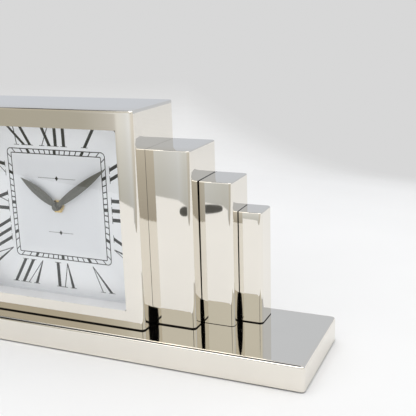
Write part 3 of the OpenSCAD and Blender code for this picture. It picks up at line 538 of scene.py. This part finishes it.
ink, tree, shader = new_material("dial_ink")
grain = cloud(tree, object_place(tree), 1500, 3, 0.6)
ink_black = tint(tree, grain, [(0.3, (0.008, 0.009, 0.008)), (0.7, (0.018, 0.020, 0.018))])
tree.links.new(ink_black, shader.inputs["Base Color"])
shader.inputs["Roughness"].default_value = 0.6
shader.inputs["Specular IOR Level"].default_value = 0.15

# The ring's half widths and the widths of its lines and ticks, in millimetres.
ring_out, ring_in = 54.5, 50.2
line, tick, bold = 0.85, 1.15, 3.3


def square_line(half, width, radius):
    """A closed line of a given width round a square with round corners: each corner is an arc
    of twelve steps, and every step between two rays is one patch."""
    turn = np.linspace(0, np.pi / 2, 13)
    outer, inner = [], []
    for quarter, (cx, cz) in enumerate([(1, 1), (1, -1), (-1, -1), (-1, 1)]):
        ray = np.pi / 2 - quarter * np.pi / 2 - turn
        for r, store in ((radius + width / 2, outer), (max(radius - width / 2, 0.02), inner)):
            arc_x = cx * (half - radius) + r * np.cos(ray)
            arc_z = cz * (half - radius) + r * np.sin(ray)
            store.append(np.stack([arc_x, arc_z], axis=1))
    outer, inner = np.concatenate(outer), np.concatenate(inner)
    return np.stack([outer, np.roll(outer, -1, 0), np.roll(inner, -1, 0), inner], axis=1)


ring = [square_line(ring_out, line, 4.0), square_line(ring_in, line, 1.0)]
for minute in range(60):
    width = bold if minute % 5 == 0 else tick
    ring.append(stroke(minute * 6, 0, 0, ring_in, ring_out, width)[None])
print_sheet("minute_ring", np.concatenate(ring), ink)

# Numerals, in millimetres: the widths of thick and thin strokes, the height of a foot and its
# length, the room that each letter takes, how far a letter's feet stand from its middle, and
# where the numerals of each side begin and end.
thick, thin, serif, foot = 3.5, 0.9, 0.55, 7.2
numerals = ["XII", "I", "II", "III", "IV", "V", "VI", "VII", "VIII", "IX", "X", "XI"]
room_for = {"I": 9.2, "V": 13.0, "X": 13.0}
straddle = {"V": 4.9, "X": 4.4}
bands = ((58.0, 78.6), (58.6, 81.5), (58.0, 83.6), (58.6, 81.5))


def numeral(text, angle):
    """All the patches of one numeral, whose feet point at the centre and which reads clockwise."""
    low, high = bands[side_of(angle)]
    start = -sum(room_for[c] for c in text) / 2
    patches = []
    for c in text:
        mid = start + room_for[c] / 2
        start += room_for[c]
        if c == "I":
            patches.append(stroke(angle, mid, mid, low, high, thick))
            feet = [(mid, r, foot) for r in (low, high - serif)]
        else:
            left, right = mid - straddle[c], mid + straddle[c]
        if c == "V":
            patches.append(stroke(angle, mid, left, low, high, thin, thick))
            patches.append(stroke(angle, mid, right, low, high, thin, thin))
            feet = [(left, high - serif, foot), (right, high - serif, foot * 0.8)]
        if c == "X":
            patches.append(stroke(angle, right, left, low, high, thick))
            patches.append(stroke(angle, left, right, low, high, thin))
            feet = [(a, r, foot * 0.85) for a in (left, right) for r in (low, high - serif)]
        patches += [stroke(angle, a, a, r, r + serif, length) for a, r, length in feet]
    return patches


patches = [patch for i, text in enumerate(numerals) for patch in numeral(text, i * 30)]
print_sheet("numerals", np.array(patches), ink)

# Ornament: a thin line with a lozenge at its middle, above and below the centre, in
# millimetres.
line_half, lozenge_half_x, lozenge_half_z = 0.18, 1.8, 2.4
ornament = []
for middle, half in ((27.0, 21.0), (-27.0, 14.0)):
    below, above = middle - line_half, middle + line_half
    ornament.append([[-half, below], [half, below], [half, above], [-half, above]])
    below, above = middle - lozenge_half_z, middle + lozenge_half_z
    left, right = -lozenge_half_x, lozenge_half_x
    ornament.append([[left, middle], [0, below], [right, middle], [0, above]])
grey_ink = ink.copy()
grey_ink.name = "dial_grey_ink"
print_sheet("ornament", np.array(ornament), grey_ink)


# Hands
# Leaf hands pressed from thin sheet with a ridge, so each has two facets, and painted dark
# gunmetal. They are pushed on the hour pipe and the cannon pinion, and a small nut closes them.
hand_paint, tree, shader = new_material("dark_hand")
grain = cloud(tree, object_place(tree), 1800, 3, 0.6)
gunmetal = tint(tree, grain, [(0.3, (0.08, 0.08, 0.067)), (0.7, (0.11, 0.11, 0.092))])
tree.links.new(gunmetal, shader.inputs["Base Color"])
shader.inputs["Metallic"].default_value = 0.3
tree.links.new(spread(tree, grain, 0.4, 0.5), shader.inputs["Roughness"])
for node in ("hour_hand", "minute_hand", "hand_nut"):
    finish_node(node, hand_paint)


# Table and backdrop
# A white painted table top that ends in front of the clock, and a pale sweep of paper that
# rises behind it in one bend and hangs from above.
def stage_mesh(name, points, faces, material):
    """A mesh of the studio round the clock."""
    mesh = bpy.data.meshes.new(name)
    mesh.from_pydata(points, [], faces)
    mesh.materials.append(material)
    piece = bpy.data.objects.new(name, mesh)
    bpy.context.scene.collection.objects.link(piece)
    return piece


camera_place = Vector((0.4030, -0.5783, 0.3078))
camera_target = Vector((0.15529, -0.0043, 0.13687))
sight = (camera_place - camera_target).normalized()
toward = Vector((sight.x, sight.y, 0)).normalized()
across = Vector((-toward.y, toward.x, 0))

# In metres from the clock towards the camera and away from it: where the table ends, where
# the paper's bend starts, its radius, and the top of the paper. The table's near edge is cut
# at a slant.
front_edge, back_edge, bend_radius, paper_top = 0.454, 0.62, 0.25, 0.55
half_width, edge_slant = 3.2, 0.125
wall_pale, room_pale = (0.686, 0.686, 0.686), (0.62, 0.65, 0.705)

table_white, tree, shader = new_material("table_white")
place = object_place(tree)
x, y, z = split(tree, place)
paint = cloud(tree, place, 6, 2, 0.5)
white = tint(tree, paint, [(0.3, (0.86, 0.86, 0.86)), (0.7, (0.88, 0.88, 0.88))])
shader.inputs["Roughness"].default_value = 0.7
shader.inputs["Specular IOR Level"].default_value = 0.2
path = tree.nodes.new("ShaderNodeLightPath")
camera_ray, glossy_ray = path.outputs["Is Camera Ray"], path.outputs["Is Glossy Ray"]

# The paper turns from lit white into flat grey along its run: the way back over the table,
# the way round the bend, and a share of the way to the side, which counts as a little at least.
side_share, least_aside = 0.75, 0.1
back = plus(tree, times(tree, x, -toward.x), times(tree, y, -toward.y))
aside = plus(tree, times(tree, x, across.x), times(tree, y, across.y))
past_edge = sum_of(tree, "MAXIMUM", less(tree, back, back_edge), 0.0)
bent = sum_of(tree, "ARCTAN2", past_edge, less(tree, bend_radius, z))
run = plus(tree, sum_of(tree, "MINIMUM", back, back_edge), times(tree, bent, bend_radius))
run = plus(tree, run, times(tree, sum_of(tree, "MAXIMUM", aside, least_aside), side_share))
seen_grey = tint(tree, run, [
    (0.55, (0.0, 0.0, 0.0)),
    (0.70, (0.08, 0.08, 0.08)),
    (0.85, (0.2, 0.2, 0.2)),
    (0.92, (0.5, 0.5, 0.5)),
    (0.965, (0.85, 0.85, 0.85)),
    (1.0, (1.0, 1.0, 1.0)),
])
# What isn't seen straight turns grey with height alone.
all_grey_at = 0.3
other_grey = sum_of(tree, "DIVIDE", z, all_grey_at, clamp=True)
other_grey = times(tree, other_grey, less(tree, 1.0, camera_ray))
grey = plus(tree, times(tree, seen_grey, camera_ray), other_grey)
glow = tree.nodes.new("ShaderNodeEmission")
tree.links.new(laid_over(tree, camera_ray, room_pale, wall_pale), glow.inputs["Color"])
blend = tree.nodes.new("ShaderNodeMixShader")
tree.links.new(grey, blend.inputs[0])
tree.links.new(shader.outputs[0], blend.inputs[1])
tree.links.new(glow.outputs[0], blend.inputs[2])

# A dark patch is painted on the table's near edge, seen by glossy rays alone: a painted reflection
# of a dark grip. Only the polished columns, farther off than 0.45 m, show it.
grip_x, grip_y, grip_half_x, grip_half_y, grip_way_off = -0.043, -0.451, 0.027, 0.028, 0.45
painted_reflection_dark = (0.05, 0.05, 0.045)
east = sum_of(tree, "POWER", sum_of(tree, "DIVIDE", less(tree, x, grip_x), grip_half_x), 2.0)
south = sum_of(tree, "POWER", sum_of(tree, "DIVIDE", less(tree, y, grip_y), grip_half_y), 2.0)
# Painted reflection: the patch is dark only for glossy rays that come from farther off than 0.45 m.
painted_grip_reflection = times(tree, sum_of(tree, "LESS_THAN", plus(tree, east, south), 1.0), glossy_ray)
way_off = sum_of(tree, "GREATER_THAN", path.outputs["Ray Length"], grip_way_off)
painted_grip_reflection = times(tree, painted_grip_reflection, way_off)
tree.links.new(laid_over(tree, painted_grip_reflection, white, painted_reflection_dark), shader.inputs["Base Color"])

# Seen from behind, the sweep lets the clock show through.
backfacing = tree.nodes.new("ShaderNodeNewGeometry").outputs["Backfacing"]
clear = tree.nodes.new("ShaderNodeBsdfTransparent")
one_sided = tree.nodes.new("ShaderNodeMixShader")
tree.links.new(times(tree, backfacing, camera_ray), one_sided.inputs[0])
tree.links.new(blend.outputs[0], one_sided.inputs[1])
tree.links.new(clear.outputs[0], one_sided.inputs[2])
output = next(n for n in tree.nodes if n.type == "OUTPUT_MATERIAL")
tree.links.new(one_sided.outputs[0], output.inputs["Surface"])

# The sheet's profile runs from the near edge back under the clock, a quarter circle up and
# straight to the top. It is carried to both sides.
bend = np.linspace(0, np.pi / 2, 25)
bend_out = -back_edge - bend_radius * np.sin(bend)
out = np.concatenate([[front_edge, 0.0], bend_out, [-back_edge - bend_radius]])
up = np.concatenate([[0.0, 0.0], bend_radius * (1 - np.cos(bend)), [paper_top]])
rows = []
for sign in (-1, 1):
    out[0] = front_edge + edge_slant * sign * half_width
    row = np.outer(out, np.array(toward)) + sign * half_width * np.array(across)
    rows.append(row + np.outer(up, [0, 0, 1]))
n = len(out)
near = np.arange(n - 1)
faces = np.stack([near, near + n, near + n + 1, near + 1], axis=1)
stage_mesh("table", np.concatenate(rows).tolist(), faces.tolist(), table_white)


# Studio
# A soft box overhead, and a room that only polished metal and glass show: a pale ceiling with
# one dark beam, a bright window behind the camera, and furniture below the table's near edge.
# Everything else is lit by plain even light.
lamp_place, lamp_target = Vector((0.1, 0.1, 1.7)), Vector((0.05, 0, 0.1))
lamp = bpy.data.lights.new("soft_box", "AREA")
lamp.shape = "RECTANGLE"
lamp.size, lamp.size_y = 1.6, 1.2
lamp.energy = 7
lamp_object = bpy.data.objects.new("soft_box", lamp)
lamp_object.location = lamp_place
lamp_object.rotation_euler = (lamp_place - lamp_target).to_track_quat("Z", "Y").to_euler()
lamp_object.visible_glossy = False
bpy.context.scene.collection.objects.link(lamp_object)

# The camera's black front: a disc round its place, turned to the clock. Only what is
# polished shows it.
hood_radius, hood_corners = 0.062, 48
hood_black, tree, shader = new_material("hood_black")
grain = cloud(tree, object_place(tree), 200, 2, 0.5)
soot = tint(tree, grain, [(0.3, (0.001, 0.001, 0.001)), (0.7, (0.002, 0.002, 0.002))])
tree.links.new(soot, shader.inputs["Base Color"])
shader.inputs["Roughness"].default_value = 1.0
shader.inputs["Specular IOR Level"].default_value = 0.0
level = sight.cross((0, 0, 1)).normalized()
turn = np.linspace(0, 2 * np.pi, hood_corners, endpoint=False)
rim = np.outer(np.cos(turn), np.array(level))
rim = rim + np.outer(np.sin(turn), np.array(level.cross(sight)))
rim = np.array(camera_place) + hood_radius * rim
hood = stage_mesh("camera_hood", rim.tolist(), [list(range(hood_corners))], hood_black)
hood.visible_camera = hood.visible_diffuse = False
hood.visible_shadow = hood.visible_transmission = False


def step_up(tree, value, low, high):
    """0 below low, 1 above high, straight in between."""
    node = tree.nodes.new("ShaderNodeMapRange")
    node.inputs["From Min"].default_value = low
    node.inputs["From Max"].default_value = high
    tree.links.new(value, node.inputs["Value"])
    return node.outputs[0]


def step_down(tree, value, low, high):
    """1 below low, 0 above high, straight in between."""
    return less(tree, 1.0, step_up(tree, value, low, high))


world = bpy.data.worlds.new("studio")
bpy.context.scene.world = world
world.use_nodes = True
tree = world.node_tree
tree.nodes.clear()
direction = tree.nodes.new("ShaderNodeTexCoord").outputs["Generated"]
x, y, z = split(tree, direction)

# The places of things in the room are parts of a direction of length 1, so that a place in z
# is the sine of its height over the horizon. At the first number of a pair one thing ends,
# and at the second the next has fully begun.
floor_shadow, shelf_foot, ceiling_edge = (-0.30, -0.10), (0.17, 0.21), (0.46, 0.50)
window_foot, window_sides, clock_plane = (0.49, 0.53), (0.32, 0.36), (-0.02, 0.02)
beam_left, beam_right, beam_back = (-0.64, -0.60), (-0.20, -0.16), (0.12, 0.20)

# The furniture, from 45 degrees to the right of the clock's front, 0, to 45 degrees to its
# left, 1. It gets darker towards the floor, and behind the clock there is only pale wall.
slant = sum_of(tree, "DIVIDE", x, sum_of(tree, "MINIMUM", y, clock_plane[0]))
leftward = sum_of(tree, "MULTIPLY_ADD", slant, 0.5, 0.5)
furniture = tint(tree, leftward, [
    (0.00, (0.80, 0.77, 0.71)),
    (0.30, (0.82, 0.79, 0.74)),
    (0.55, (0.88, 0.90, 0.91)),
    (0.70, (0.86, 0.87, 0.86)),
    (0.7365, (0.92, 0.95, 1.0)),
    (0.755, (0.83, 0.84, 0.84)),
    (0.785, (0.82, 0.82, 0.79)),
    (0.797, (0.60, 0.58, 0.54)),
    (0.825, (0.48, 0.46, 0.40)),
    (1.00, (0.46, 0.43, 0.35)),
])
floor_shade = tint(tree, step_up(tree, z, *floor_shadow), [
    (0.0, (0.56, 0.55, 0.53)),
    (0.35, (0.72, 0.72, 0.70)),
    (0.75, (1.0, 1.0, 1.0)),
])
shaded = laid_over(tree, 1.0, furniture, floor_shade)
shaded.node.blend_type = "MULTIPLY"
behind_clock = step_up(tree, y, *clock_plane)
room = laid_over(tree, behind_clock, shaded, room_pale)

# Above it stand a shelf, then the ceiling with its beam, and the window over the camera.
shelf = tint(tree, leftward, [(0.77, (0.71, 0.70, 0.645)), (0.84, (0.55, 0.515, 0.435))])
shelf = laid_over(tree, behind_clock, shelf, room_pale)
room = laid_over(tree, step_up(tree, z, *shelf_foot), room, shelf)
beam = times(tree, step_up(tree, x, *beam_left), step_down(tree, x, *beam_right))
beam = times(tree, beam, step_down(tree, y, *beam_back))
ceiling = laid_over(tree, beam, (0.62, 0.64, 0.68), (0.02, 0.02, 0.02))
room = laid_over(tree, step_up(tree, z, *ceiling_edge), room, ceiling)
to_camera = tree.nodes.new("ShaderNodeVectorMath")
to_camera.operation = "DOT_PRODUCT"
tree.links.new(direction, to_camera.inputs[0])
to_camera.inputs[1].default_value = toward
window = step_up(tree, to_camera.outputs["Value"], *window_sides)
window = times(tree, window, step_up(tree, z, *window_foot))
room = laid_over(tree, window, room, (1.0, 1.0, 1.0))
window_extra = 1.5
mirrored_room = tree.nodes.new("ShaderNodeBackground")
tree.links.new(room, mirrored_room.inputs["Color"])
brightness = plus(tree, times(tree, window, window_extra), 1.0)
tree.links.new(brightness, mirrored_room.inputs["Strength"])

even_light = tree.nodes.new("ShaderNodeBackground")
even_light.inputs["Color"].default_value = (0.96, 0.96, 0.96, 1)
seen_wall = tree.nodes.new("ShaderNodeBackground")
seen_wall.inputs["Color"].default_value = (0.93, 0.93, 0.93, 1)
path = tree.nodes.new("ShaderNodeLightPath")
unseen = tree.nodes.new("ShaderNodeMixShader")
tree.links.new(path.outputs["Is Glossy Ray"], unseen.inputs[0])
tree.links.new(even_light.outputs[0], unseen.inputs[1])
tree.links.new(mirrored_room.outputs[0], unseen.inputs[2])
all_rays = tree.nodes.new("ShaderNodeMixShader")
tree.links.new(path.outputs["Is Camera Ray"], all_rays.inputs[0])
tree.links.new(unseen.outputs[0], all_rays.inputs[1])
tree.links.new(seen_wall.outputs[0], all_rays.inputs[2])
output = tree.nodes.new("ShaderNodeOutputWorld")
tree.links.new(all_rays.outputs[0], output.inputs["Surface"])


# Camera
# It stands at the front right, a little above the case, as the photograph's did. Its place
# and length were fitted to the corners of plinth, case and columns.
frame_pixels, focal_pixels, shift_pixels, tilt = 416, 733.7, -1, math.radians(-1.68)
camera = bpy.data.cameras.new("camera")
camera.sensor_width = 36
camera.lens = focal_pixels / frame_pixels * camera.sensor_width
camera.shift_x = shift_pixels / frame_pixels
camera.clip_start, camera.clip_end = 0.01, 50
camera_object = bpy.data.objects.new("camera", camera)
bpy.context.scene.collection.objects.link(camera_object)
right = Vector((0, 0, 1)).cross(sight).normalized()
above = sight.cross(right)
tilted_right = right * math.cos(tilt) + above * math.sin(tilt)
tilted_up = -right * math.sin(tilt) + above * math.cos(tilt)
camera_object.matrix_world = Matrix(
    [[tilted_right[i], tilted_up[i], sight[i], camera_place[i]] for i in range(3)]
    + [[0, 0, 0, 1]]
)
bpy.context.scene.camera = camera_object

view = bpy.context.scene.view_settings
view.view_transform = "Standard"
